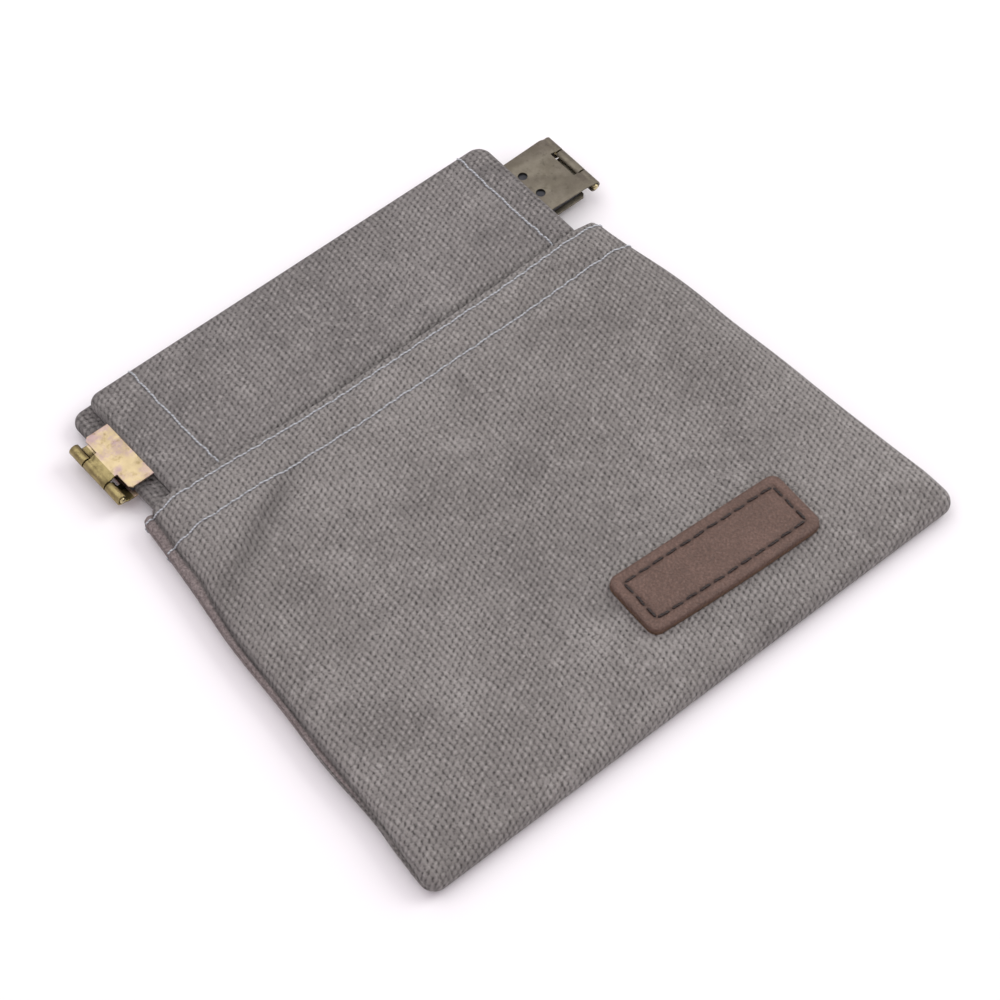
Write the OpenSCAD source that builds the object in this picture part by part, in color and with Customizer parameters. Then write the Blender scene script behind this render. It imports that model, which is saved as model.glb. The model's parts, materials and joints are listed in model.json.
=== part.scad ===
// Squeeze-frame treat pouch, lying flat and closed.
// +X runs along the mouth, +Y from the bottom fold to the mouth, +Z up out of
// the front. Origin: middle of the bounding box, on the surface it lies on.

/* [Pouch body] */
// Half of the mouth's width
mouth_half = 56; // [48:0.5:68]
// Half of the bottom's width
bottom_half = 62.5; // [54:0.5:76]
// Height from the bottom fold to the mouth edge
body_h = 91; // [76:1:110]
// Thickness of one canvas panel
canvas_t = 1.0; // [0.8:0.1:1.2]
// Half height of the hollow between the panels
hollow_half = 2.4; // [2.4:0.1:3]
// Depth of the seam allowance turned in at each side
seam_w = 1.0; // [0.8:0.1:1.5]
// How far the bottom corners are cut back
corner_cut = 6; // [4:0.5:8]

/* [Mouth hem] */
// Height of the turned-in hem band
hem_h = 8.5; // [6:0.1:12]
// Thickness of the turned-in hem band
hem_t = 0.5; // [0.4:0.1:0.6]
// Distance of the upper stitch row from the mouth edge
row_upper = 1.6; // [1.2:0.1:2.4]
// Distance of the lower stitch row from the mouth edge
row_lower = 8.9; // [6:0.1:12]

/* [Casings] */
// Height of a casing above the mouth edge
casing_rise = 29.5; // [26:0.5:40]
// Distance of the casings' left end from the mouth's left corner
inset_left = 9; // [4:0.5:14]
// Distance of the casings' right end from the mouth's right corner
inset_right = 6.5; // [4:0.5:14]
// How far the sewn-in edge stops short of the casings' right end
flange_stop = 14; // [8:0.5:16]
// Thickness of a casing with its spring strip inside
casing_t = 2.0; // [2:0.1:2.2]
// Thickness of the casing's inner fabric layer
casing_inner = 0.35; // [0.3:0.05:0.4]
// Height of the flat sewn-in edge below the spring strip
flange_h = 3.2; // [2.6:0.1:4]
// Thickness of the flat sewn-in edge
flange_t = 0.6; // [0.5:0.05:0.7]
// Radius of a casing's outer corners
casing_corner = 3; // [1:0.5:5]
// How far the mouth edge covers the casing's lower edge
tuck = 1.0; // [0.5:0.1:1.5]

/* [Flex frame] */
// Half of the distance between the two hinge pins
pin_half = 57.5; // [56:0.5:70]
// How far the frame sits to the right in its casings
frame_shift = 3; // [0:0.5:3]
// Width of the spring strip and of the hinges
strip_w = 15; // [12:0.5:16]
// Thickness of the spring strip
strip_t = 0.55; // [0.4:0.05:0.6]
// Height of the strip's lower edge above the mouth edge
strip_up = 7.7; // [6:0.1:10]
// Distance from the strip's middle to where it bends
bend_x = 19; // [14:0.5:24]

/* [Hinges] */
// Outer radius of a hinge knuckle
knuckle_r = 1.65; // [1.65:0.05:1.8]
// Thickness of the hinge plate
leaf_t = 0.5; // [0.4:0.05:0.5]
// Length of the hinge plate from the pin
leaf_len = 15; // [13.5:0.5:20]
// Length of the middle knuckle
mid_knuckle = 5.6; // [4.5:0.1:7]
// Radius of the hinge pin
pin_r = 0.8; // [0.6:0.05:0.9]
// How far the pin stands out at each end
pin_out = 0.4; // [0.2:0.1:0.8]
// Radius of the hinge plate's corners
leaf_corner = 1.2; // [0.6:0.1:2]
// Radius of a clinch hole
clinch_r = 0.9; // [0.6:0.1:1.2]
// Distance of the clinch holes from the pin
clinch_x = 10; // [8.5:0.5:11]
// Distance between the two clinch holes
clinch_gap = 5.4; // [4:0.2:8]

/* [Leather patch] */
// Length of the leather patch
patch_l = 38; // [30:0.5:44]
// Height of the leather patch
patch_w = 14; // [11:0.5:17]
// Thickness of the leather patch
patch_t = 2; // [1.4:0.1:2.4]
// Middle of the patch, along the mouth
patch_x = 18; // [0:0.5:24]
// Middle of the patch, above the bottom fold
patch_y = 17.8; // [14:0.2:40]
// Turn of the patch
patch_turn = -3; // [-5:0.5:5]
// Radius of the patch's corners
patch_corner = 2; // [0.5:0.1:3]
// Distance of the stitching from the patch's edge
patch_inset = 2.3; // [1.5:0.1:3]

/* [Stitching] */
// Distance between two stitches of the canvas thread
stitch_pitch = 3.2; // [2.4:0.1:4]
// Length of one stitch of the canvas thread
stitch_l = 2.6; // [2:0.1:3]
// Width of the canvas thread
thread_w = 0.5; // [0.3:0.05:0.8]
// How far the canvas thread is sunk into the canvas
thread_sink = 0.3; // [0.2:0.05:0.4]
// How far the front thread stands out of the canvas
thread_proud = 0.15; // [0:0.05:0.3]
// Distance of the left end stitching from the casing's end
end_row_left = 11.5; // [8:0.5:14]
// Distance of the right end stitching from the casing's end
end_row_right = 6; // [4:0.5:9]
// Distance between two stitches on the leather patch
patch_pitch = 3.0; // [2.4:0.1:4]

/* [Fits] */
// Half of the gap where two sections fold against each other
fold_gap = 0.15; // [0.1:0.01:0.3]
// Gap between a casing and the middle plane of the pouch
casing_gap = 0.25; // [0.2:0.01:0.4]
// Gap between a side seam and the middle plane of the pouch
seam_gap = 0.35; // [0.3:0.01:0.6]
// Gap between the hem band and the casing's lower edge
hem_gap = 0.5; // [0.4:0.01:0.8]
// Radial clearance of the turning knuckle on its pin
pin_fit = 0.05; // [0.02:0.01:0.09]
// Gap between two hinge knuckles
knuckle_gap = 0.3; // [0.2:0.01:0.5]
// Gap between a plate and the other leaf's knuckle
leaf_gap = 0.45; // [0.3:0.01:0.6]
// Gap between the strip or plate and its casing
sleeve_gap = 0.1; // [0.05:0.01:0.15]
// Gap between the two layers of the bottom fold
lip_gap = 0.1; // [0.05:0.01:0.15]

/* [Hidden] */
$fn = 96;
eps = 0.01;
outer_half = hollow_half + canvas_t;
fold_y = outer_half;
axis_y = body_h - tuck;
casing_top = body_h + casing_rise;
casing_out = casing_gap + casing_t;
mid_y = casing_top / 2;
casing_left = mouth_half - inset_left;
casing_right = mouth_half - inset_right;
bend_left = bend_x - frame_shift;
bend_right = bend_x + frame_shift;
pin_left = pin_half - frame_shift;
pin_right = pin_half + frame_shift;
strip_y = body_h + strip_up;
strip_z = casing_gap + casing_inner;
plate_z = strip_z + strip_t;
slot_top = plate_z + leaf_t + sleeve_gap;
leaf_start = knuckle_r + leaf_gap;
lip_r = outer_half - canvas_t / 2 + lip_gap / 2;
core_r = outer_half - canvas_t / 2 - lip_gap / 2;
swing = 25;
swing_room = 2.5;
side_knuckle = (strip_w - mid_knuckle) / 2 - knuckle_gap;
strip_in = 3;
tip_h = 3.2;
side_foot = 5;

// the two faces of the pouch are mirror images about its middle plane
module front() translate([0, -mid_y, outer_half]) children();
module back() translate([0, -mid_y, outer_half]) mirror([0, 0, 1]) children();
module left() mirror([1, 0, 0]) children();
module layer(z0, z1) translate([0, 0, z0]) linear_extrude(z1 - z0) children();

// where a body panel folds, from the bend at the mouth to the bottom corner
function crease(y, bend) =
    bend + (bottom_half - bend) * (axis_y - y) / (axis_y - fold_y);
// the side edge of the body, wider at the bottom
function side(y) =
    mouth_half + (bottom_half - mouth_half) * (body_h - y) / (body_h - fold_y);

// one flank of the middle section, from the fold's corner to the mouth
function flank(bend) = [
    [bottom_half - corner_cut, fold_y],
    [bottom_half - corner_cut / 2, fold_y + tip_h / 3],
    [crease(fold_y + tip_h, bend) - fold_gap, fold_y + tip_h],
    [crease(body_h, bend) - fold_gap, body_h],
];

module centre_shape() {
    right_flank = flank(bend_right);
    left_flank = flank(bend_left);
    polygon(concat(right_flank, [for (i = [3:-1:0]) [-left_flank[i][0], left_flank[i][1]]]));
}

module side_shape(bend) {
    foot_y = fold_y + side_foot;
    polygon([
        [crease(foot_y, bend) + fold_gap, foot_y],
        [side(foot_y), foot_y],
        [side(body_h), body_h],
        [crease(body_h, bend) + fold_gap, body_h],
    ]);
}

module seam_shape() {
    foot_y = fold_y + side_foot;
    polygon([
        [side(foot_y) - seam_w, foot_y],
        [side(foot_y), foot_y],
        [side(body_h), body_h],
        [side(body_h) - seam_w, body_h],
    ]);
}

module rows_band() {
    for (d = [row_upper, row_lower])
        translate([-bottom_half, body_h - d - thread_w / 2])
            square([2 * bottom_half, thread_w]);
}

// a flat panel with sunk tracks for the two stitch rows
module panel_solid() difference() {
    layer(hollow_half, outer_half) children();
    layer(outer_half - thread_sink, outer_half + eps) rows_band();
}

module hem_solid() layer(hollow_half - hem_t, hollow_half)
    intersection() {
        children();
        translate([-bottom_half, axis_y - hem_gap - hem_h])
            square([2 * bottom_half, hem_h]);
    }

module side_hem(bend) hem_solid() difference() {
    side_shape(bend);
    seam_shape();
}

module stitches(x0, x1, y) {
    n = floor((x1 - x0) / stitch_pitch);
    start = (x0 + x1 - (n - 1) * stitch_pitch - stitch_l) / 2;
    for (i = [0:n - 1])
        translate([start + i * stitch_pitch, y - thread_w / 2])
            square([stitch_l, thread_w]);
}

module centre_rows(proud) for (d = [row_upper, row_lower]) {
    left_end = -crease(body_h - d, bend_left) + fold_gap;
    right_end = crease(body_h - d, bend_right) - fold_gap;
    layer(outer_half - thread_sink, outer_half + proud)
        stitches(left_end, right_end, body_h - d);
}

module side_rows(bend, proud) for (d = [row_upper, row_lower])
    layer(outer_half - thread_sink, outer_half + proud)
        stitches(crease(body_h - d, bend) + fold_gap, mouth_half, body_h - d);

module seam_solid() layer(seam_gap, hollow_half) seam_shape();

// a part of a ring about the fold's axis, seen from the end of the fold
module ring_part(r0, r1, a0, a1) {
    steps = 6;
    intersection() {
        difference() {
            circle(r1);
            circle(r0);
        }
        polygon(concat([[0, 0]], [for (i = [0:steps])
            2 * r1 * [cos(a0 + (a1 - a0) * i / steps), sin(a0 + (a1 - a0) * i / steps)]]));
    }
}

module along_fold() {
    reach = bottom_half - corner_cut;
    translate([-reach, fold_y - mid_y, outer_half])
        rotate([90, 0, 90]) linear_extrude(2 * reach) children();
}

module bottom_fold() color("#87827e") along_fold() {
    ring_part(hollow_half, core_r, 90 + swing + swing_room, 270);
    ring_part(hollow_half, outer_half, 180 + swing + swing_room, 270);
}

module back_panel() color("#87827e") back() panel_solid() centre_shape();
module back_hem() color("#7d7874") back() hem_solid() centre_shape();
module back_mouth_stitch() color("#c9c6c2") back() centre_rows(0);
module back_panel_left() color("#87827e") back() left() panel_solid() side_shape(bend_left);
module back_seam_left() color("#7d7874") back() left() seam_solid();
module back_hem_left() color("#7d7874") back() left() side_hem(bend_left);
module back_mouth_stitch_left() color("#c9c6c2") back() left()
    side_rows(bend_left, 0);
module back_panel_right() color("#87827e") back() panel_solid() side_shape(bend_right);
module back_seam_right() color("#7d7874") back() seam_solid();
module back_hem_right() color("#7d7874") back() side_hem(bend_right);
module back_mouth_stitch_right() color("#c9c6c2") back() side_rows(bend_right, 0);

module front_panel() color("#87827e") {
    front() panel_solid() centre_shape();
    along_fold() ring_part(lip_r, outer_half, 90, 180);
}
module front_hem() color("#7d7874") front() hem_solid() centre_shape();
module front_mouth_stitch() color("#c9c6c2") front() centre_rows(thread_proud);
module front_panel_left() color("#87827e") front() left() panel_solid() side_shape(bend_left);
module front_seam_left() color("#7d7874") front() left() seam_solid();
module front_hem_left() color("#7d7874") front() left() side_hem(bend_left);
module front_mouth_stitch_left() color("#c9c6c2") front() left()
    side_rows(bend_left, thread_proud);
module front_panel_right() color("#87827e") front() panel_solid() side_shape(bend_right);
module front_seam_right() color("#7d7874") front() seam_solid();
module front_hem_right() color("#7d7874") front() side_hem(bend_right);
module front_mouth_stitch_right() color("#c9c6c2") front() side_rows(bend_right, thread_proud);

module on_patch() translate([patch_x, patch_y]) rotate(patch_turn) children();

module rounded(l, w, r) union() {
    square([l - 2 * r, w], center = true);
    square([l, w - 2 * r], center = true);
    for (sx = [-1, 1], sy = [-1, 1])
        translate([sx * (l / 2 - r), sy * (w / 2 - r)]) circle(r);
}

module patch_track(w) difference() {
    square([patch_l - 2 * patch_inset + w, patch_w - 2 * patch_inset + w], center = true);
    square([patch_l - 2 * patch_inset - w, patch_w - 2 * patch_inset - w], center = true);
}

module leather_patch() color("#6e5a50") front() difference() {
    layer(outer_half, outer_half + patch_t)
        on_patch() rounded(patch_l, patch_w, patch_corner);
    layer(outer_half + patch_t - thread_sink, outer_half + patch_t + eps)
        on_patch() patch_track(thread_w);
}

module patch_stitch() color("#4a362b") front()
    layer(outer_half + patch_t - thread_sink, outer_half + patch_t)
        on_patch() {
            run = patch_l - 2 * patch_inset;
            rise = patch_w - 2 * patch_inset;
            n = floor(run / patch_pitch);
            m = floor(rise / patch_pitch);
            for (s = [-1, 1]) {
                for (i = [0:n - 1])
                    translate([(i - (n - 1) / 2) * run / n, s * rise / 2])
                        square([run / n - thread_w, thread_w], center = true);
                for (i = [0:m - 1])
                    translate([s * run / 2, (i - (m - 1) / 2) * rise / m])
                        square([thread_w, rise / m - thread_w], center = true);
            }
        }

// a casing from x0 to x1: a flat tube for the strip and a flat edge below it
module casing_solid(x0, x1, corner0, corner1, stop = 0) difference() {
    union() {
        layer(casing_gap, casing_out) difference() {
            translate([x0, axis_y + flange_h])
                square([x1 - x0, casing_top - axis_y - flange_h]);
            if (corner0) translate([x0, casing_top]) corner_bite(1);
            if (corner1) translate([x1, casing_top]) corner_bite(-1);
        }
        layer(casing_gap, casing_gap + flange_t)
            translate([x0, axis_y]) square([x1 - x0 - stop, flange_h + eps]);
    }
    layer(strip_z, slot_top)
        translate([x0 - 1, strip_y - sleeve_gap])
            square([x1 - x0 + 2, strip_w + 2 * sleeve_gap]);
}

module corner_bite(s) difference() {
    translate([s > 0 ? -eps : -casing_corner, -casing_corner])
        square([casing_corner + eps, casing_corner + eps]);
    translate([s * casing_corner, -casing_corner]) circle(casing_corner);
}

module strip_solid(x0, x1) layer(strip_z, plate_z)
    translate([x0, strip_y]) square([x1 - x0, strip_w]);

module end_stitch(x) layer(casing_out, casing_out + thread_proud + eps) {
    low = axis_y + flange_h + thread_w;
    n = floor((casing_top - low) / stitch_pitch);
    for (i = [0:n - 1])
        translate([x - thread_w / 2, low + i * stitch_pitch])
            square([thread_w, stitch_l]);
}

module back_casing() color("#8b8682") back()
    casing_solid(-bend_left + fold_gap, bend_right - fold_gap, false, false);
module back_strip() color("#9a9a9c") back()
    strip_solid(-bend_left + fold_gap, bend_right - fold_gap);
module back_casing_left() color("#8b8682") back()
    casing_solid(-casing_left, -bend_left - fold_gap, true, false);
module back_strip_left() color("#9a9a9c") back()
    strip_solid(-pin_left + strip_in, -bend_left - fold_gap);
module back_end_stitch_left() color("#c9c6c2") back()
    end_stitch(-casing_left + end_row_left);
module back_casing_right() color("#8b8682") back()
    casing_solid(bend_right + fold_gap, casing_right, false, true, flange_stop);
module back_strip_right() color("#9a9a9c") back()
    strip_solid(bend_right + fold_gap, pin_right - strip_in);
module back_end_stitch_right() color("#c9c6c2") back()
    end_stitch(casing_right - end_row_right);

module front_casing() color("#8b8682") front()
    casing_solid(-bend_left + fold_gap, bend_right - fold_gap, false, false);
module front_strip() color("#9a9a9c") front()
    strip_solid(-bend_left + fold_gap, bend_right - fold_gap);
module front_casing_left() color("#8b8682") front()
    casing_solid(-casing_left, -bend_left - fold_gap, true, false);
module front_strip_left() color("#9a9a9c") front()
    strip_solid(-pin_left + strip_in, -bend_left - fold_gap);
module front_end_stitch_left() color("#c9c6c2") front()
    end_stitch(-casing_left + end_row_left);
module front_casing_right() color("#8b8682") front()
    casing_solid(bend_right + fold_gap, casing_right, false, true, flange_stop);
module front_strip_right() color("#9a9a9c") front()
    strip_solid(bend_right + fold_gap, pin_right - strip_in);
module front_end_stitch_right() color("#c9c6c2") front()
    end_stitch(casing_right - end_row_right);

// hinge parts are drawn with the pin's axis at x = 0 and the plate towards +X
module at_left_pin() translate([-pin_left, strip_y, 0]) children();
module at_right_pin() translate([pin_right, strip_y, 0]) left() children();

module rod(y0, y1, r) translate([0, y0, 0]) rotate([-90, 0, 0]) cylinder(h = y1 - y0, r = r);

module knuckle(y0, y1, bore) difference() {
    union() {
        rod(y0, y1, knuckle_r);
        translate([0, y0, plate_z]) cube([leaf_start + eps, y1 - y0, knuckle_r - plate_z]);
    }
    rod(y0 - 1, y1 + 1, bore);
}

module plate() layer(plate_z, plate_z + leaf_t) difference() {
    translate([(leaf_start + leaf_len) / 2, strip_w / 2])
        rounded(leaf_len - leaf_start, strip_w, leaf_corner);
    for (s = [-1, 1])
        translate([clinch_x, strip_w / 2 + s * clinch_gap / 2]) circle(clinch_r);
}

module outer_leaf(bore) {
    plate();
    knuckle(0, side_knuckle, bore);
    knuckle(strip_w - side_knuckle, strip_w, bore);
}

module middle_leaf(bore) {
    plate();
    knuckle(strip_w / 2 - mid_knuckle / 2, strip_w / 2 + mid_knuckle / 2, bore);
}

module pin_solid() rod(-pin_out, strip_w + pin_out, pin_r);

module left_hinge_back_leaf() color("#b08d57") back() at_left_pin() outer_leaf(pin_r);
module left_hinge_pin() color("#8f8a84") back() at_left_pin() pin_solid();
module left_hinge_front_leaf() color("#b08d57") front() at_left_pin()
    middle_leaf(pin_r + pin_fit);
module right_hinge_back_leaf() color("#7d7458") back() at_right_pin()
    middle_leaf(pin_r + pin_fit);
module right_hinge_front_leaf() color("#7d7458") front() at_right_pin() outer_leaf(pin_r);
module right_hinge_pin() color("#6b655c") front() at_right_pin() pin_solid();

back_panel();
bottom_fold();
back_hem();
back_mouth_stitch();
back_panel_left();
back_seam_left();
back_hem_left();
back_mouth_stitch_left();
back_panel_right();
back_seam_right();
back_hem_right();
back_mouth_stitch_right();
front_panel();
front_hem();
front_mouth_stitch();
leather_patch();
patch_stitch();
front_panel_left();
front_seam_left();
front_hem_left();
front_mouth_stitch_left();
front_panel_right();
front_seam_right();
front_hem_right();
front_mouth_stitch_right();
back_casing();
back_strip();
back_casing_left();
back_strip_left();
back_end_stitch_left();
left_hinge_back_leaf();
left_hinge_pin();
back_casing_right();
back_strip_right();
back_end_stitch_right();
right_hinge_back_leaf();
front_casing();
front_strip();
front_casing_left();
front_strip_left();
front_end_stitch_left();
left_hinge_front_leaf();
front_casing_right();
front_strip_right();
front_end_stitch_right();
right_hinge_front_leaf();
right_hinge_pin();
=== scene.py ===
# Looks of the squeeze-frame treat pouch: waxed canvas body and casings, sewn
# rows, a leather patch and two pinned hinges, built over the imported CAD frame.
# Shapes are worked out in millimetres on the pouch lying flat, with z measured
# from its middle plane, and turned to metres when a mesh is made.
import json
import math

import bpy
import bmesh
import numpy as np
from mathutils import Matrix, Vector

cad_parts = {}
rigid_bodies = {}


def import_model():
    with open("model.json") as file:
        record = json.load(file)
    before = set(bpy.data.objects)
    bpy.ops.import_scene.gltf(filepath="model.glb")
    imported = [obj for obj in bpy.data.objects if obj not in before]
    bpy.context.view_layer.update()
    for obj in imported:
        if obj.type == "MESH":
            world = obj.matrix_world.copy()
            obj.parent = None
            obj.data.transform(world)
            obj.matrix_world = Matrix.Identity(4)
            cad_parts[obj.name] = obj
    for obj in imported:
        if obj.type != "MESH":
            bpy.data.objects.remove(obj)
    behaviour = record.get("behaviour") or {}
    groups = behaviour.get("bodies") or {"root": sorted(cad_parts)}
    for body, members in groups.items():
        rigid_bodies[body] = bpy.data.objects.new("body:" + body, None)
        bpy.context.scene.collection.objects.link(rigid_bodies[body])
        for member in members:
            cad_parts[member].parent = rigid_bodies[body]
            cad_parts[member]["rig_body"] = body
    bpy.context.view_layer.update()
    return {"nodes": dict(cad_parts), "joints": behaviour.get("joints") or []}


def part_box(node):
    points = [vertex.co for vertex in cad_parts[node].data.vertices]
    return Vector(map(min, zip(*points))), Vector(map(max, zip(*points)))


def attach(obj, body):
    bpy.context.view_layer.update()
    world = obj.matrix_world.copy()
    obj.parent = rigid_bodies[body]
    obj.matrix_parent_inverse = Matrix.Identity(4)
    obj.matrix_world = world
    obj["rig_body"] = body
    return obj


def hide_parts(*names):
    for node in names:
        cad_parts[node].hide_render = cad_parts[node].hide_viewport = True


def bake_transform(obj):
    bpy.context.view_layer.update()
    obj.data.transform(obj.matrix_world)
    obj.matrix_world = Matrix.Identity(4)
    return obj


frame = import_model()

MM = 0.001


def span(node):
    """Lowest and highest corner of a CAD node, in millimetres."""
    low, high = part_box(node)
    return np.array(low) / MM, np.array(high) / MM


# ---------------------------------------------------------------- sizes, in mm
def middle_x(node):
    return sum(corner[0] for corner in span(node)) / 2


front_low, front_high = span("front_panel")
casing_low, casing_high = span("front_casing_right")

MIDDLE_Z = (front_high[2] + span("back_panel")[0][2]) / 2
CANVAS_T = 1.0
OUTER = front_high[2] - MIDDLE_Z
INNER = OUTER - CANVAS_T
MOUTH_Y = span("front_panel_right")[1][1]
BOTTOM_Y = front_low[1]
FOLD_Y = BOTTOM_Y + OUTER
MOUTH_HALF = 56.0
BOTTOM_HALF = 62.5
ROWS = [MOUTH_Y - 1.6, MOUTH_Y - 8.9]
HEM_IN = 0.9  # how much thicker the hem band is
CORNER_R = 3.2
MOUTH_CORNER_R = 1.8
ROLL = 2.0  # width of the rounding at a panel's edge
EDGE_T = 2.2
SEAM_TUCK = 0.8
BACK_BULGE = 0.15
STITCH = 3.2
CASING_TOP = casing_high[1]
CASING_FOOT = span("front_casing")[0][1]
CASING_Z = [casing_low[2] - MIDDLE_Z, casing_high[2] - MIDDLE_Z]
CASING_ENDS = {-1: span("front_casing_left")[0][0], 1: casing_high[0]}
CASING_CORNER_R = 3.0
CASING_ROLL = 1.15
BACK_LEFT_LONGER = 4.0  # the back casing's left end, past the front one's
END_ROWS = {-1: middle_x("front_end_stitch_left") - 1.2, 1: middle_x("front_end_stitch_right")}
STRIP_INSET = 1.1  # how much narrower the strip is drawn, on each side
THREAD_LIFT = 0.1
FACES = {"front": 1, "back": -1}
SIDES = {"left": -1, "right": 1}

joint_at = {j["name"]: np.array(j["pos_m"]) / MM for j in frame["joints"]}


# ------------------------------------------------------------------- materials
def hex_colour(code):
    """An sRGB hex value as the linear colour that the shader wants."""
    parts = [int(code[i : i + 2], 16) / 255 for i in (1, 3, 5)]
    line = [c / 12.92 if c <= 0.04045 else ((c + 0.055) / 1.055) ** 2.4 for c in parts]
    return (*line, 1.0)


def add(tree, kind, links=None, values=None, **settings):
    """Adds one node: settings on it, values and links on its inputs."""
    made = tree.nodes.new(kind)
    for name, value in settings.items():
        setattr(made, name, value)
    for key, value in (values or {}).items():
        made.inputs[key].default_value = value
    for key, source in (links or {}).items():
        tree.links.new(source, made.inputs[key])
    return made


def sums(tree, operation, a, b=None, c=None, clamp=False):
    """One Math node on sockets or numbers."""
    made = add(tree, "ShaderNodeMath", operation=operation, use_clamp=clamp)
    for i, given in enumerate((a, b, c)):
        if given is None:
            continue
        if isinstance(given, bpy.types.NodeSocket):
            tree.links.new(given, made.inputs[i])
        else:
            made.inputs[i].default_value = given
    return made.outputs[0]


def blot(tree, where, size_mm, detail=3.0, rough=0.55, low=0.35, high=0.65, seed=0.0):
    """Soft noise blots of about that size, from 0 to 1."""
    noise = add(
        tree,
        "ShaderNodeTexNoise",
        {"Vector": where},
        {"Scale": 1 / (size_mm * MM), "Detail": detail, "Roughness": rough, "W": seed},
        noise_dimensions="4D",
    )
    ramp = add(
        tree,
        "ShaderNodeMapRange",
        {"Value": noise.outputs["Fac"]},
        {"From Min": low, "From Max": high},
        interpolation_type="SMOOTHSTEP",
    )
    return ramp.outputs["Result"]


def tint(tree, factor, a, b):
    """Colour a with b laid over it by factor."""
    made = add(tree, "ShaderNodeMix", data_type="RGBA", blend_type="MIX")
    for key, given in ((0, factor), (6, a), (7, b)):
        if isinstance(given, bpy.types.NodeSocket):
            tree.links.new(given, made.inputs[key])
        else:
            made.inputs[key].default_value = given
    return made.outputs[2]


def wash(tree, colour, mask, share, code):
    """That colour laid over by a share of the mask."""
    return tint(tree, sums(tree, "MULTIPLY", mask, share), colour, hex_colour(code))


def new_finish(name, roughness, metallic=0.0, **socket_values):
    """An empty material with its shader: returns it, its tree and the shader."""
    finish = bpy.data.materials.new(name)
    finish.use_nodes = True
    tree = finish.node_tree
    tree.nodes.clear()
    shader = add(
        tree,
        "ShaderNodeBsdfPrincipled",
        values={"Roughness": roughness, "Metallic": metallic, **socket_values},
    )
    add(tree, "ShaderNodeOutputMaterial", {"Surface": shader.outputs[0]})
    return finish, tree, shader


def bump(tree, shader, height, depth_mm, strength=1.0):
    made = add(
        tree,
        "ShaderNodeBump",
        {"Height": height},
        {"Strength": strength, "Distance": depth_mm * MM},
    )
    tree.links.new(made.outputs[0], shader.inputs["Normal"])


def plain_weave(tree, warp_mm, weft_mm):
    """Height, 0 to 1, of a plain weave of thick warps side by side, with finer
    wefts that hump over every other one and lean as their twist makes them, and
    a random share of its own for each hump, which sets how much painted
    highlight its crown gets."""
    moved = add(tree, "ShaderNodeUVMap", uv_map="cloth_mm").outputs[0]
    object_at = add(tree, "ShaderNodeTexCoord").outputs["Object"]
    for size, sway in ((9.0, 1.2), (2.6, 0.5), (0.8, 0.16)):
        wander = add(
            tree,
            "ShaderNodeTexNoise",
            {"Vector": object_at},
            {"Scale": 1 / (size * MM), "Detail": 1.0},
        )
        centred = add(
            tree,
            "ShaderNodeVectorMath",
            {0: wander.outputs["Color"]},
            {1: (0.5, 0.5, 0.5)},
            operation="SUBTRACT",
        )
        moved = add(
            tree,
            "ShaderNodeVectorMath",
            {0: centred.outputs[0], 2: moved},
            {1: (sway, sway, 0.0)},
            operation="MULTIPLY_ADD",
        ).outputs[0]
    axes = add(tree, "ShaderNodeSeparateXYZ", {0: moved})
    p = sums(tree, "DIVIDE", axes.outputs[0], warp_mm)
    q = sums(tree, "DIVIDE", axes.outputs[1], weft_mm)
    slant = sums(tree, "SUBTRACT", p, q)
    top = 0.5
    for size, run, turns, lead in (
        (0.21, p, 2 * math.pi, -0.26),
        (0.19, slant, math.pi, 0.0),
        (0.06, sums(tree, "ADD", p, q), math.pi, 0.0),
    ):
        wave = sums(tree, "COSINE", sums(tree, "MULTIPLY_ADD", run, turns, lead))
        top = sums(tree, "MULTIPLY_ADD", wave, size, top)
    cell = add(
        tree,
        "ShaderNodeCombineXYZ",
        {
            0: sums(tree, "FLOOR", sums(tree, "ADD", p, 0.5)),
            1: sums(tree, "FLOOR", sums(tree, "MULTIPLY_ADD", slant, 0.5, 0.5)),
        },
    )
    own = add(tree, "ShaderNodeTexWhiteNoise", {"Vector": cell.outputs[0]})
    return top, own.outputs["Value"], object_at


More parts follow.
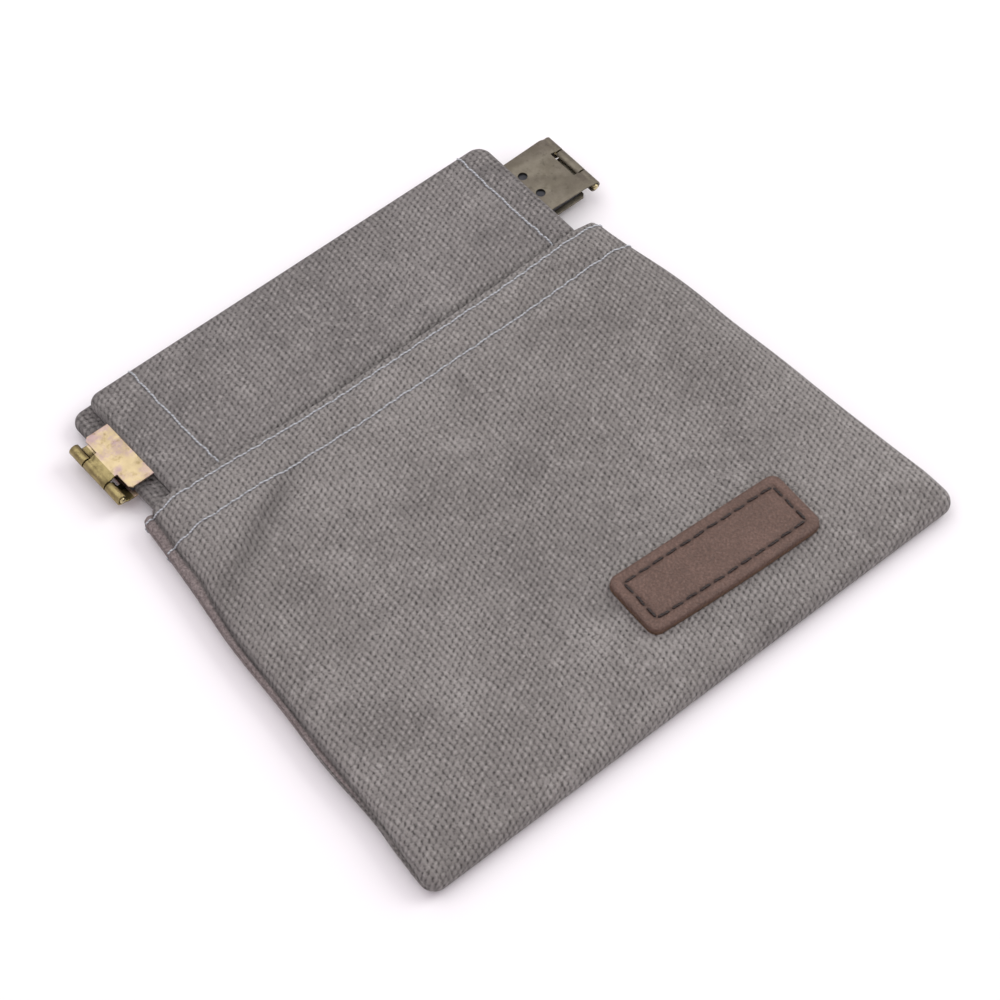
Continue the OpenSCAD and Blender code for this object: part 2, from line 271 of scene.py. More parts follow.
def waxed_cloth(name, ground, pale, dark, wear_share):
    """Waxed cotton canvas, plain woven and washed: a matt cloth whose yarn
    humps show, with painted highlight on their crowns and painted shade in the
    gaps between them, pale scuffs and fine lines where the wax has cracked,
    painted shade at its folded edges, creases and sewn rows, and painted
    pinkish light on its left sewn edges. Warps 1.14 mm and wefts 0.57 mm apart."""
    finish, tree, shader = new_finish(
        name, 0.9, **{"Sheen Weight": 0.1, "Sheen Roughness": 0.5, "IOR": 1.45}
    )
    top, own, at = plain_weave(tree, 1.14, 0.57)
    colour = tint(
        tree,
        blot(tree, at, 34, 4.0, 0.6, 0.38, 0.66, 1.0),
        hex_colour(ground),
        hex_colour(pale),
    )
    darker = blot(tree, at, 12, 4.0, 0.6, 0.45, 0.72, 4.0)
    colour = wash(tree, colour, darker, 0.5, dark)
    scuff = blot(tree, at, 17, 7.0, 0.74, 0.54, 0.68, 7.0)
    crack = add(
        tree,
        "ShaderNodeTexNoise",
        {"Vector": at},
        {"Scale": 1 / (31 * MM), "Detail": 5.0, "Roughness": 0.62, "Distortion": 0.6},
    ).outputs["Fac"]
    off_line = sums(tree, "ABSOLUTE", sums(tree, "SUBTRACT", crack, 0.5))
    line = sums(tree, "MULTIPLY_ADD", off_line, -70.0, 1.0, clamp=True)
    line = sums(tree, "MULTIPLY", line, blot(tree, at, 24, 2.0, 0.5, 0.5, 0.62, 11.0))
    worn = sums(tree, "MAXIMUM", scuff, line)
    colour = wash(tree, colour, worn, wear_share, "#a5a19d")
    speck = blot(tree, at, 0.36, 2.0, 0.7, 0.3, 0.7, 2.0)
    high = sums(tree, "MULTIPLY_ADD", speck, 0.46, sums(tree, "SUBTRACT", top, 0.23))
    # painted highlight on the yarn crowns, stronger on some humps than others
    crown_highlight_share = sums(tree, "MULTIPLY_ADD", own, 0.5, -0.05, clamp=True)
    lit = tint(tree, crown_highlight_share, colour, hex_colour("#bdb8b4"))
    crown_highlight = add(
        tree,
        "ShaderNodeMapRange",
        {"Value": high},
        {"From Min": 0.5, "From Max": 0.95},
    ).outputs["Result"]
    colour = tint(tree, crown_highlight, colour, lit)
    # painted shade in the gaps between the yarns
    weave_gap_shade = add(
        tree,
        "ShaderNodeMapRange",
        {"Value": high},
        {"From Min": -0.02, "From Max": 0.5, "To Min": 0.95, "To Max": 0.0},
    ).outputs["Result"]
    colour = tint(tree, weave_gap_shade, colour, hex_colour("#363331"))
    # painted shade at the folded edges, the tuck, the ledge step and beside the sewn rows
    painted_edge_shade = add(tree, "ShaderNodeAttribute", attribute_name="edge_shade").outputs["Fac"]
    colour = wash(tree, colour, painted_edge_shade, 0.55, "#3f3b3a")
    # painted pinkish light on the left sewn edges
    pink_light = add(tree, "ShaderNodeAttribute", attribute_name="pink_light")
    pink_light_colour = tint(tree, speck, hex_colour("#6a5f5d"), hex_colour("#978a87"))
    colour = tint(tree, pink_light.outputs["Fac"], colour, pink_light_colour)
    tree.links.new(colour, shader.inputs["Base Color"])
    bump(tree, shader, high, 0.3)
    return finish


def sewing_thread(name, light, dark, roughness):
    """Spun polyester thread, twisted: satin, with fine slanting plies, painted lighter on their
    crowns and darker between them.
    """
    finish, tree, shader = new_finish(name, roughness)
    at = add(tree, "ShaderNodeTexCoord").outputs["Object"]
    ply = add(
        tree,
        "ShaderNodeTexWave",
        {"Vector": at},
        {"Scale": 1 / (1.4 * MM), "Distortion": 1.5},
        bands_direction="DIAGONAL",
    )
    # painted highlight on the plies' crowns and painted shade between them, on the same wave as
    # the bump
    colour = tint(tree, ply.outputs["Fac"], hex_colour(dark), hex_colour(light))
    tree.links.new(colour, shader.inputs["Base Color"])
    bump(tree, shader, ply.outputs["Fac"], 0.05)
    return finish


def patch_leather():
    """Coated split leather, pressed with a fine pebble grain: low sheen, painted
    shade in the grain's pits and painted highlights on fine specks, painted shade
    along the rim and in the pressed groove, and a fibrous orange brown cut edge."""
    finish, tree, shader = new_finish("pressed_split_leather", 0.5)
    at = add(tree, "ShaderNodeTexCoord").outputs["Object"]
    pebble = add(
        tree,
        "ShaderNodeTexVoronoi",
        {"Vector": at},
        {"Scale": 1 / (0.55 * MM), "Randomness": 1.0},
        feature="SMOOTH_F1",
    )
    fine = blot(tree, at, 0.5, 3.0, 0.6, 0.3, 0.7, 3.0)
    patchy = blot(tree, at, 7, 3.0, 0.6, 0.35, 0.7, 5.0)
    colour = tint(tree, patchy, hex_colour("#634b3f"), hex_colour("#70564a"))
    # painted shade where the fine blots sink the grain
    colour = wash(tree, colour, fine, 0.5, "#3a2a23")
    # painted highlights on fine random specks
    crown_highlight = blot(tree, at, 0.45, 2.0, 0.6, 0.48, 0.68, 8.0)
    colour = wash(tree, colour, crown_highlight, 0.3, "#8d7164")
    cut = add(tree, "ShaderNodeAttribute", attribute_name="cut_edge").outputs["Fac"]
    fibre = blot(tree, at, 0.35, 3.0, 0.7, 0.3, 0.7, 9.0)
    raw = tint(tree, fibre, hex_colour("#3f2b1f"), hex_colour("#806044"))
    colour = tint(tree, cut, colour, raw)
    # painted shade in the stitch groove and along the rim
    shade = add(tree, "ShaderNodeAttribute", attribute_name="edge_shade").outputs["Fac"]
    colour = wash(tree, colour, shade, 0.6, "#33241d")
    tree.links.new(colour, shader.inputs["Base Color"])
    grain = sums(tree, "MULTIPLY_ADD", fine, 0.8, pebble.outputs["Distance"])
    bump(tree, shader, sums(tree, "MULTIPLY", grain, -1.0), 0.16)
    return finish


def plated_hinge(name, base, patina, deep, roughness, speckle):
    """Brass plated steel sheet, stamped and rolled: a metal shine broken by
    patches of patina and fine pits."""
    finish, tree, shader = new_finish(name, roughness, 1.0)
    at = add(tree, "ShaderNodeTexCoord").outputs["Object"]
    stain = blot(tree, at, 4.0, 4.0, 0.65, 0.4, 0.62, 1.0)
    colour = tint(tree, stain, hex_colour(base), hex_colour(patina))
    colour = wash(tree, colour, blot(tree, at, 1.6, 4.0, 0.7, 0.52, 0.7, 5.0), speckle, deep)
    tree.links.new(colour, shader.inputs["Base Color"])
    smear = blot(tree, at, 2.5, 3.0, 0.6, 0.3, 0.7, 8.0)
    dull = sums(tree, "MULTIPLY_ADD", smear, 0.22, roughness - 0.08)
    tree.links.new(dull, shader.inputs["Roughness"])
    pits = blot(tree, at, 0.7, 3.0, 0.65, 0.3, 0.75, 6.0)
    bump(tree, shader, pits, 0.03, strength=0.7)
    return finish


canvas = waxed_cloth("waxed_canvas", "#827e7a", "#918d89", "#686461", 0.6)
casing_cloth = waxed_cloth("waxed_canvas_casing", "#7b7774", "#898582", "#63605e", 0.45)
pale_thread = sewing_thread("spun_polyester_thread", "#c3c7cb", "#8e9194", 0.6)
dark_thread = sewing_thread("waxed_patch_thread", "#35251e", "#150e0b", 0.55)
leather = patch_leather()
champagne = plated_hinge("mottled_brass_plate", "#c6b48e", "#b29a9a", "#8c7644", 0.36, 0.6)
# the plate's brass painted darker and greener, for the dark reflections on the rolled knuckles
knuckle_dark_reflection = plated_hinge("rolled_brass_painted_dark_reflection", "#9a8c62", "#776b49", "#443c26", 0.3, 0.6)
bronze = plated_hinge("antique_bronze_plate", "#767063", "#827c6f", "#4b473e", 0.5, 0.5)
steel = plated_hinge("blued_spring_steel", "#4c4d50", "#3c3d41", "#28292c", 0.4, 0.4)
pin_metal = plated_hinge("turned_steel_pin", "#c3b78f", "#94855c", "#4d4328", 0.26, 0.4)


# --------------------------------------------------------------------- shaping
rng = np.random.default_rng(20)
WAVES = rng.uniform(0, 2 * math.pi, (40, 2))


def ripple(x, y, size, seed):
    """Gentle unevenness of about that size, from -1 to 1."""
    total = 0
    for k in range(5):
        turn, phase = WAVES[(seed * 5 + k) % 40]
        pace = 2 * math.pi / (size * (0.75 + 0.18 * k))
        total = total + np.sin(pace * (x * math.cos(turn) + y * math.sin(turn)) + phase)
    return total / 3.2


def hump(distance, width):
    return np.exp(-((distance / width) ** 2))


def ease(t):
    t = np.clip(t, 0, 1)
    return t * t * (3 - 2 * t)


def body_side(y):
    """The body's straight side edge, wider at the bottom."""
    return MOUTH_HALF + (BOTTOM_HALF - MOUTH_HALF) * (MOUTH_Y - y) / (MOUTH_Y - FOLD_Y)


SIDE_LEAN = math.cos(math.atan2(BOTTOM_HALF - MOUTH_HALF, MOUTH_Y - FOLD_Y))


def corner_cut(distance, r):
    """How much a corner of radius r takes off, at a distance from its edge."""
    left = r - np.clip(distance, 0, r)
    return r - np.sqrt(np.maximum(r**2 - left**2, 0))


def outline_x(y, bulge=0.0):
    """Where the body ends sideways, round its corners too."""
    cut = corner_cut(y - BOTTOM_Y, CORNER_R)
    nick = corner_cut(MOUTH_Y - y, MOUTH_CORNER_R)
    return body_side(y) - cut / SIDE_LEAN - nick + bulge * ease((y - BOTTOM_Y) / 6)


def inside(x, y, bulge=0.0):
    """Distance inside the outline, and how much of it is the bottom fold's."""
    side = (body_side(y) + bulge * ease((y - BOTTOM_Y) / 6) - np.abs(x)) * SIDE_LEAN
    up = y - BOTTOM_Y
    in_corner = (side < CORNER_R) & (up < CORNER_R)
    corner = CORNER_R - np.hypot(CORNER_R - side, CORNER_R - up)
    near = np.where(in_corner, corner, np.minimum(side, up))
    return np.maximum(near, 0), ease(0.5 + (side - up) / 6)


def seam_z(y):
    """The sewn edge droops from the middle plane towards the bottom fold."""
    return -0.3 - 0.9 * (1 - ease((y - BOTTOM_Y) / 9))


def ledge(y, side, face):
    """How far the front stops short of the seam on the left, where the back's
    sewn allowance shows beside it."""
    if face != "front" or side > 0:
        return 0.0 * y
    at = (-58, -50, -30, 0, 9, 14, 19, 31)
    return np.interp(y, at, (0.0, 0.4, 0.8, 1.0, 1.5, 2.1, 1.8, 1.9))


def tuck_at(x, y):
    """The slanting fold below the left end of the lower row: how far along it
    and how far across, down the front."""
    along = -(x + 29) * 0.9 - (y - 21.2) * 0.436
    across = (x + 29) * 0.436 - (y - 21.2) * 0.9
    share = ease((along + 4) / 9) * (1 - 0.35 * ease((along - 16) / 10))
    return share, across


def relief(x, y, face):
    """How far the cloth stands above or below its flat face."""
    seed = 0 if face == "front" else 3
    rise = 0.16 * ripple(x, y, 46, seed) + 0.07 * ripple(x, y, 17, seed + 1)
    for row in ROWS:
        needle = 1 + 0.35 * np.cos(2 * math.pi * x / STITCH)
        rise = rise - 0.26 * hump(y - row, 0.8) * needle
    rise = rise + 0.3 * hump(y - sum(ROWS) / 2, 2.4) * (1 + 0.4 * ripple(x, y, 11, seed + 2))
    rise = rise + 0.12 * hump(y - ROWS[1] + 3.2, 2.0)
    if face == "front":
        share, across = tuck_at(x, y)
        width = np.where(across < 0, 1.4, 4.3)
        rise = rise - 1.5 * share * hump(across, width)
        rise = rise + 0.3 * share * hump(across + 4.2, 2.4)
        rise = rise - 0.35 * hump(np.hypot((x + 44) / 5, (y + 4) / 16), 1.0)
    return rise


def face_height(x, y, face):
    """Height of the cloth's outer side, away from the middle plane. The back
    lies flat on the table, and the front eases down to the edges."""
    bulge = BACK_BULGE if face == "back" else 0.0
    near, fold_share = inside(x, y, bulge)
    part = np.minimum(near / ROLL, 1)
    round_off = np.sqrt(np.maximum(1 - (1 - part) ** 2, 0))
    foot = seam_z(y)
    if face == "back":
        return -foot + (OUTER + foot) * round_off + 0.3 * relief(x, y, face) * ease(near / 4)
    full = OUTER - foot
    swell = ease(near / (7 + 8 * fold_share))
    thick = EDGE_T + (full - EDGE_T) * swell
    return foot + thick * round_off + relief(x, y, face) * ease(near / 4)


def seam_wave(y, side):
    """The sewn side is never quite straight."""
    fade = ease((y - BOTTOM_Y - 8) / 10)
    return 0.28 * fade * ripple(side * 40 + y * 0, y, 21, 5)


def settle(points):
    """The mouth's corners have slid a little on the casings, mostly the left."""
    x, y = points[:, 0], points[:, 1]
    high = ease(y / MOUTH_Y)
    left, right = ease((-x - 5) / 50) * high, ease((x - 20) / 36) * high
    slid = points.copy()
    slid[:, 0] += 1.7 * left - 1.2 * right
    slid[:, 1] += 2.1 * left + 0.8 * right
    return slid


# -------------------------------------------------------------------- meshing
def place(name, data):
    made = bpy.data.objects.new(name, data)
    bpy.context.scene.collection.objects.link(made)
    return made


def plain_mesh(held):
    """An object's finished shape as a plain mesh, and the object taken away."""
    bpy.context.view_layer.update()
    ready = held.evaluated_get(bpy.context.evaluated_depsgraph_get())
    mesh = bpy.data.meshes.new_from_object(ready)
    bpy.data.objects.remove(held)
    return mesh


def grid_faces(rows, columns, flip):
    quads = []
    for j in range(rows - 1):
        for i in range(columns - 1):
            a = j * columns + i
            quad = (a, a + 1, a + columns + 1, a + columns)
            quads.append(quad[::-1] if flip else quad)
    return quads


def make_mesh(name, points, quads, uv=None, marks=None, finish=None, weld=0.004):
    """A smooth mesh object from points in mm on the middle plane's frame."""
    points = np.asarray(points, float).reshape(-1, 3)
    placed = (points + np.array([0, 0, MIDDLE_Z])) * MM
    mesh = bpy.data.meshes.new(name)
    mesh.from_pydata(placed.tolist(), [], [tuple(int(i) for i in q) for q in quads])
    if uv is not None:
        layer = mesh.uv_layers.new(name="cloth_mm")
        uv = np.asarray(uv, float).reshape(-1, 2)
        order = np.zeros(len(mesh.loops), int)
        mesh.loops.foreach_get("vertex_index", order)
        layer.data.foreach_set("uv", uv[order].ravel())
    for mark, values in (marks or {}).items():
        held = mesh.attributes.new(mark, "FLOAT", "POINT")
        held.data.foreach_set("value", np.asarray(values, np.float32).ravel())
    work = bmesh.new()
    work.from_mesh(mesh)
    bmesh.ops.remove_doubles(work, verts=work.verts, dist=weld * MM)
    bmesh.ops.dissolve_degenerate(work, edges=work.edges, dist=weld * MM)
    work.to_mesh(mesh)
    work.free()
    for polygon in mesh.polygons:
        polygon.use_smooth = True
    if finish is not None:
        mesh.materials.append(finish)
    return place(name, mesh)


def steps(*stops):
    """Numbers from stop to stop: (from, to, count) pieces joined up."""
    parts = [np.linspace(a, b, n, endpoint=False) for a, b, n in stops]
    return np.concatenate([*parts, [stops[-1][1]]])


def panel_columns(y, side, face, count=62):
    """One row of the outer side, from the middle out to the sewn edge, as
    (x, z), then the two points that tuck into the seam."""
    bulge = BACK_BULGE if face == "back" else 0.0
    wave = seam_wave(y, side)
    edge = outline_x(y, bulge) + wave
    short = ledge(y, side, face)
    brim = edge - short
    turn = np.linspace(0, math.pi / 2, 12)[1:]
    flat = np.linspace(0, 1, count) ** 0.92 * (brim - ROLL - 0.6)
    near_edge = brim - ROLL * (1 - np.sin(turn))
    x = np.concatenate([flat, [brim - ROLL], near_edge])
    nick = body_side(y) - outline_x(y) if y > (MOUTH_Y + BOTTOM_Y) / 2 else 0.0
    z = face_height(side * (x + (nick - wave + short) * ease(x / 30)), y, face)
    foot = seam_z(y) * FACES[face]
    open_seam = ease((y - BOTTOM_Y) / 5)
    low = foot + 0.5 * open_seam
    z = np.maximum(z, low)
    across = np.linspace(0, 1, 7)[1:]
    allowance = low + 0.3 * np.sin(math.pi * across) * np.minimum(short, 1)
    tuck = SEAM_TUCK * open_seam
    x = np.concatenate([x, brim + short * across, [edge - 0.3 * tuck, edge - tuck]])
    z = np.concatenate([z, allowance, [foot + 0.17 * open_seam, foot + 0.02 * open_seam]])
    return x, z


def inner_columns(x, z, foot, hem):
    """The inner side under the same columns, thicker at the hem band."""
    across = np.minimum(x, x[-1])
    under = foot + 0.02 + np.maximum(z - foot - CANVAS_T - HEM_IN * hem, 0)
    under[-3:] = z[-1]
    return across, np.minimum(under, INNER - HEM_IN * hem)


def body_panel(face, side_name):
    """Half of the front or the back, as one sheet: the outer side, the rolled
    mouth edge and the turned-in hem, closed along the sewn side."""
    side, sign = SIDES[side_name], FACES[face]
    lip = 0.78
    bend, hem_y = FOLD_Y + 4, ROWS[1] - 6
    ys = steps((FOLD_Y, bend, 8), (bend, hem_y, 88), (hem_y, MOUTH_Y - lip, 44))
    outer, inner = [], []
    for y in ys:
        x, z = panel_columns(y, side, face)
        hem = ease((y - (ROWS[1] - 0.9)) / 0.8)
        xi, zi = inner_columns(x, z, seam_z(y) * sign, hem)
        outer.append(np.stack([side * x, np.full_like(x, y), z], 1))
        inner.append(np.stack([side * xi, np.full_like(x, y), zi], 1))
    turns = []
    top, under = outer[-1], inner[-1]
    for k in range(1, 9):
        angle = math.pi * k / 9
        share = (1 + math.cos(angle)) / 2
        ring = top * share + under * (1 - share)
        reach = np.minimum(lip, (top[:, 2] - under[:, 2]) / 2 * 1.2)
        ring[:, 1] = top[:, 1] + reach * math.sin(angle)
        turns.append(ring)
    points = np.array(outer + turns + inner[::-1])
    count, columns = points.shape[:2]
    # the weave runs on over the rolled mouth edge and down the hem
    travel = np.zeros(count)
    travel[1:] = np.cumsum(np.linalg.norm(np.diff(points[:, 10, :], axis=0), axis=1))
    run = np.zeros((count, columns))
    step = np.linalg.norm(np.diff(points[:, :, [0, 2]], axis=1), axis=2)
    run[:, 1:] = np.cumsum(step, axis=1)
    uv = np.stack([side * run, np.repeat((travel + FOLD_Y)[:, None], columns, 1)], 2)
    flat = points.reshape(-1, 3)
    shade = edge_shade(flat[:, 0], flat[:, 1], face)
    flat = flat * np.array([1, 1, sign])
    # painted pinkish light on the left sewn edge
    pink_light = pink_light_at(flat[:, 0], flat[:, 1], face)
    made = make_mesh(
        f"{face}_canvas_{side_name}",
        settle(flat),
        grid_faces(count, columns, (side * sign) < 0),
        uv,
        {"edge_shade": shade, "pink_light": pink_light},
        canvas,
    )
    crease_blend(made)
    return made


def edge_shade(x, y, face):
    """Darker close to the folds and beside the sewn rows."""
    near, _ = inside(x, y)
    dark = 0.55 * hump(near, 1.2) + 0.25 * hump(y - MOUTH_Y, 1.0)
    for row in ROWS:
        dark = dark + 0.3 * hump(y - row, 0.5)
    if face == "front":
        share, across = tuck_at(x, y)
        dark = dark + 0.6 * share * hump(across - 0.4, 2.2)
        step = outline_x(y) - ledge(y, -1, face)
        dark = dark + 0.9 * hump(-x - step, 0.4) * ease(ledge(y, -1, face))
    return np.clip(dark, 0, 1)


def pink_light_at(x, y, face):
    """Painted pinkish light on the back's left sewn edge, on its upper two thirds, and on the
    front's left ledge where that edge shows.
    """
    if face == "front":
        short = ledge(y, -1, face)
        return 0.85 * ease((-x - outline_x(y) + short) / 0.5) * ease(short) * (x < 0)
    near = np.clip(inside(x, y, BACK_BULGE)[0], 0, 9)
    return 0.75 * hump(near, 2.2) * ease((y + 30) / 14) * (x < 0)


def crease_blend(piece):
    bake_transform(piece)


def seam_allowance(side_name):
    """The turned-in edges of a side seam, which show when it is pulled open."""
    side = SIDES[side_name]
    rows = []
    for y in np.linspace(FOLD_Y + 1.5, MOUTH_Y - 3, 70):
        edge = outline_x(y) + seam_wave(y, side)
        short = float(ledge(y, side, "front"))
        x = edge - np.array([0.9, 0.9 + 0.6 * short, short + 1.3, short + 2.3])
        z = seam_z(y) + np.array([-0.25, 0.1, 0.6, 1.6])
        x, z = np.concatenate([x, x[::-1] - 0.35]), np.concatenate([z, z[::-1]])
        x, z = np.append(x, x[0]), np.append(z, z[0])
        rows.append(np.stack([side * x, np.full_like(x, y), z], 1))
    ends = [np.tile(row[:-1].mean(0), (len(row), 1)) for row in (rows[0], rows[-1])]
    points = np.array([ends[0], *rows, ends[1]])
    count, around = points.shape[:2]
    flat = settle(points.reshape(-1, 3))
    uv = np.stack([np.tile(np.arange(around) * 0.8, count), flat[:, 1]], 1)
    made = make_mesh(
        f"seam_allowance_{side_name}",
        flat,
        grid_faces(count, around, side < 0),
        uv,
        # an even painted shade on the turned-in edges
        {"edge_shade": np.full(len(flat), 0.3), "pink_light": np.zeros(len(flat))},
        canvas,
    )
    crease_blend(made)


def fold_roll():
    """The bottom, where the one cloth turns from the front to the back."""
    angles = np.concatenate([[0.0, 0.02], np.linspace(0.1, math.pi / 2, 13)])
    rows = []
    for face, order in (("front", angles), ("back", angles[::-1][1:])):
        for a in order:
            y = FOLD_Y - OUTER * math.sin(a)
            halves = []
            for side in (-1, 1):
                x, z = panel_columns(y, side, face)
                if face == "back":
                    z = -z
                halves.append(np.stack([side * x, np.full_like(x, y), z], 1))
            rows.append(np.concatenate([halves[0][::-1], halves[1][1:]]))
    lining = []
    for row, sign in ((rows[-1], -1), (rows[0], 1)):
        foot = seam_z(FOLD_Y)
        z = foot + sign * np.maximum(sign * (row[:, 2] - foot) - CANVAS_T, 0.02)
        lining.append(z)
    reach = rows[0][:, 0].max() - SEAM_TUCK
    for a in np.linspace(0, math.pi, 9):
        share = (1 - math.cos(a)) / 2
        x = np.clip(rows[0][:, 0], -reach, reach)
        z = lining[0] * (1 - share) + lining[1] * share
        y = FOLD_Y - 0.9 * math.sin(a) * ease((reach - np.abs(x)) / 2)
        rows.append(np.stack([x, y, z], 1))
    rows.append(rows[0])
    points = np.array(rows)
    count, columns = points.shape[:2]
    middle = columns // 2
    travel = np.zeros(count)
    travel[1:] = np.cumsum(np.linalg.norm(np.diff(points[:, middle, :], axis=0), axis=1))
    uv = np.stack([points[:, :, 0], np.repeat((FOLD_Y - travel)[:, None], columns, 1)], 2)
    flat = points.reshape(-1, 3)
    # painted shade near the side edges, weaker than on the panels
    shade = edge_shade(flat[:, 0], flat[:, 1], "fold") * 0.6
    made = make_mesh(
        "bottom_fold_roll",
        flat,
        grid_faces(count, columns, True),
        uv,
        {"edge_shade": shade, "pink_light": np.zeros(len(flat))},
        canvas,
    )
    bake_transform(made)
    return made


def casing_form(x, y, end_x, side, face):
    """Outer and inner height of a casing: a flat sleeve with a plump edge."""
    low, high = CASING_Z
    end_gap = np.abs(end_x) - np.abs(x)
    top_gap = CASING_TOP - y
    r = CASING_CORNER_R
    in_corner = (end_gap < r) & (top_gap < r)
    corner = r - np.hypot(r - end_gap, r - top_gap)
    near = np.maximum(np.where(in_corner, corner, np.minimum(end_gap, top_gap)), 0)
    edge = np.sqrt(np.clip(1 - (1 - np.clip(near / CASING_ROLL, 0, 1)) ** 2, 0, 1))
    middle = (low + high) / 2
    seed = 2 if face == "front" else 6
    rise = 0.12 * ripple(x, y, 34, seed) + 0.07 * ripple(x, y, 13, seed + 1)
    row = END_ROWS[side]
    needle = 1 + 0.3 * np.cos(2 * math.pi * y / STITCH)
    rise = rise - 0.3 * hump(x - row, 0.9) * needle
    rise = rise + 0.14 * hump(x - (row + end_x) / 2, 3.0)
    foot = ease((y - CASING_FOOT - 0.6) / 2.6)
    thick = 0.6 + (high - low - 0.6 - 0.05) * foot
    out = low + thick + rise * ease(near / 3) * foot
    outer = middle + (out - middle) * edge
    inner = middle + (low - middle) * edge
    return outer, inner, near


def towards_edge(end):
    """The last columns or rows before a casing's edge, closer as it rounds."""
    turn = np.linspace(0, math.pi / 2, 9)[1:]
    even = (CASING_CORNER_R - CASING_ROLL) * np.linspace(0, 1, 5)[1:]
    return np.concatenate([end - CASING_CORNER_R + even, end - CASING_ROLL * (1 - np.sin(turn))])


def casing_half(face, side_name):
    """Half of a casing, from the middle to its folded end, as a tube that is
    open where it meets the other half."""
    side, sign = SIDES[side_name], FACES[face]
    longer = BACK_LEFT_LONGER if (face, side_name) == ("back", "left") else 0
    end_x = CASING_ENDS[side] + side * longer
    reach = abs(end_x)
    xs = np.concatenate([np.linspace(0, reach - CASING_CORNER_R, 58), towards_edge(reach)])
    low_rows = np.linspace(CASING_FOOT, CASING_FOOT + 4, 12)
    high_rows = np.linspace(CASING_FOOT + 4, CASING_TOP - CASING_CORNER_R, 34)[1:]
    ys = np.concatenate([low_rows, high_rows, towards_edge(CASING_TOP)])
    columns, marks = [], []
    for x in xs:
        top = CASING_TOP - corner_cut(reach - x, CASING_CORNER_R)
        y = CASING_FOOT + (ys - CASING_FOOT) * (top - CASING_FOOT) / (CASING_TOP - CASING_FOOT)
        across = np.full_like(y, side * x)
        outer, inner, near = casing_form(across, y, end_x, side, face)
        loop_y = np.concatenate([y, y[::-1][1:]])
        loop_z = np.concatenate([outer, inner[::-1][1:]])
        columns.append(np.stack([np.full_like(loop_y, side * x), loop_y, loop_z], 1))
        # painted shade at the casing's rounded edge and beside its end row
        dark = 0.5 * hump(near, 1.0) + 0.3 * hump(across - END_ROWS[side], 0.6)
        marks.append(np.concatenate([dark, dark[::-1][1:]]))
    points = np.array(columns)
    count, around = points.shape[:2]
    closed = np.concatenate([points, points[:, :1, :]], 1)
    step = np.linalg.norm(np.diff(points[10], axis=0), axis=1)
    travel = np.concatenate([[0], np.cumsum(step)]) + CASING_FOOT
    across_mm = np.repeat((side * xs)[:, None], around + 1, 1)
    along_mm = np.repeat(np.append(travel, travel[-1] + 1)[None, :], count, 0)
    uv = np.stack([across_mm, along_mm], 2)
    shade = np.concatenate([np.array(marks), np.array(marks)[:, :1]], 1)
    flat = closed.reshape(-1, 3) * np.array([1, 1, sign])
    made = make_mesh(
        f"{face}_sleeve_{side_name}",
        flat,
        grid_faces(count, around + 1, (side * sign) > 0),
        uv,
        {"edge_shade": np.clip(shade.ravel(), 0, 1), "pink_light": np.zeros(len(flat))},
        casing_cloth,
    )
    frame_blend(made)
    return made


def frame_blend(piece):
    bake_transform(piece)


def spring_strip(face, side_name):
    """Half of a spring strip, a flat steel band with rounded edges."""
    side, sign = SIDES[side_name], FACES[face]
    low, high = span(f"{face}_strip_{side_name}")
    reach = abs(low[0]) if side < 0 else high[0]
    z0, z1 = sorted(abs(v - MIDDLE_Z) for v in (low[2], high[2]))
    y0, y1 = low[1] + STRIP_INSET, high[1] - STRIP_INSET
    xs = np.linspace(0, reach, 50)
    turn = np.linspace(-math.pi / 2, math.pi / 2, 7)
    half = (z1 - z0) / 2
    y = np.concatenate([y1 - half + half * np.cos(turn), y0 + half - half * np.cos(turn)])
    z = np.concatenate([half * np.sin(turn), -half * np.sin(turn)]) + (z0 + z1) / 2
    y, z = np.append(y, y[0]), np.append(z, z[0])
    points = np.array([np.stack([np.full_like(y, side * x), y, z], 1) for x in xs])
    closing = points[-1].copy()
    closing[:, 1:] = closing[:, 1:].mean(0)
    points = np.concatenate([points, closing[None]])
    flat = points.reshape(-1, 3) * np.array([1, 1, sign])
    faces = grid_faces(len(xs) + 1, len(y), (side * sign) < 0)
    made = make_mesh(f"{face}_spring_{side_name}", flat, faces, finish=steel)
    frame_blend(made)
    return made


